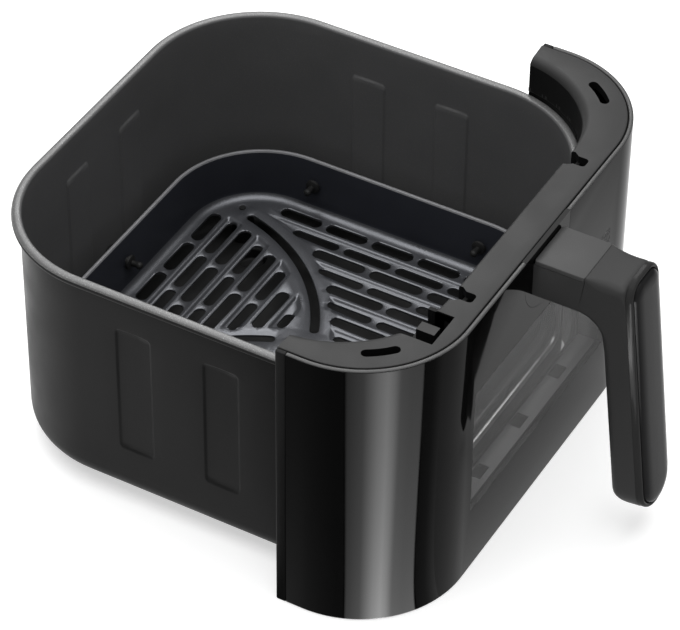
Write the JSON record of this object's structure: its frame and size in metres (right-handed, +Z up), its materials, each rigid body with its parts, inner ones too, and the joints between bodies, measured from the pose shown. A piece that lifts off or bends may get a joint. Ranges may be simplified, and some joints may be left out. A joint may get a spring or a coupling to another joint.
{
  "type": "air fryer drawer",
  "caption": "Square coated air fryer pan with a lift-out perforated crisper tray, a wrap-round gloss front panel with a viewing window, and a pistol-shaped handle.",
  "frame": {"origin": "on the table, under the middle of the square pan", "axes": "+X to the right seen from behind the pan, +Y from the front panel to the back of the pan, +Z up"},
  "size_m": [0.27, 0.3258, 0.1615],
  "materials": {
    "pan_coating": "satin non-stick coating",
    "tray_coating": "satin non-stick coating, bluish grey",
    "frame_plastic": "fine moulded texture",
    "shell_gloss": "high gloss",
    "tinted_pane": "smoke tint",
    "clear_glass": "clear",
    "seal_silicone": "matt",
    "bumper_silicone": "matt",
    "bracket_steel": "zinc plated sheet",
    "fastener_steel": "plated",
    "handle_plastic": "satin",
    "cover_plastic": "fine moulded texture",
    "trim_gloss": "high gloss",
    "face_metallic": "dark metallic lacquer"
  },
  "bodies": {
    "drawer": {"pan": "pan_coating", "pan_window_seal": "seal_silicone", "pan_window_glass": "clear_glass", "pan_window_retainer": "bracket_steel", "pan_window_rivets": "fastener_steel", "pan_bracket": "bracket_steel", "bracket_nuts": "fastener_steel", "inner_frame": "frame_plastic", "outer_shell": "shell_gloss", "window_pane": "tinted_pane", "window_seal": "seal_silicone", "switch_actuator": "frame_plastic", "shell_screws": "fastener_steel", "handle_base": "shell_gloss", "handle_core": "bracket_steel", "core_screws": "fastener_steel", "handle_body": "handle_plastic", "arm_cover": "cover_plastic", "arm_screws": "fastener_steel", "handle_trim": "trim_gloss", "handle_face": "face_metallic", "trim_screws": "fastener_steel"},
    "tray": {"tray": "tray_coating", "bumper_left_front": "bumper_silicone", "bumper_left_back": "bumper_silicone", "bumper_right_front": "bumper_silicone", "bumper_right_back": "bumper_silicone", "bumper_front": "bumper_silicone", "bumper_back": "bumper_silicone", "foot_left_front": "bumper_silicone", "foot_left_back": "bumper_silicone", "foot_right_front": "bumper_silicone", "foot_right_back": "bumper_silicone"}
  },
  "joints": [
    {"name": "tray_lift", "type": "slide", "parent": "drawer", "child": "tray", "axis": [0, 0, 1], "range_m": [0, 0.16]}
  ]
}
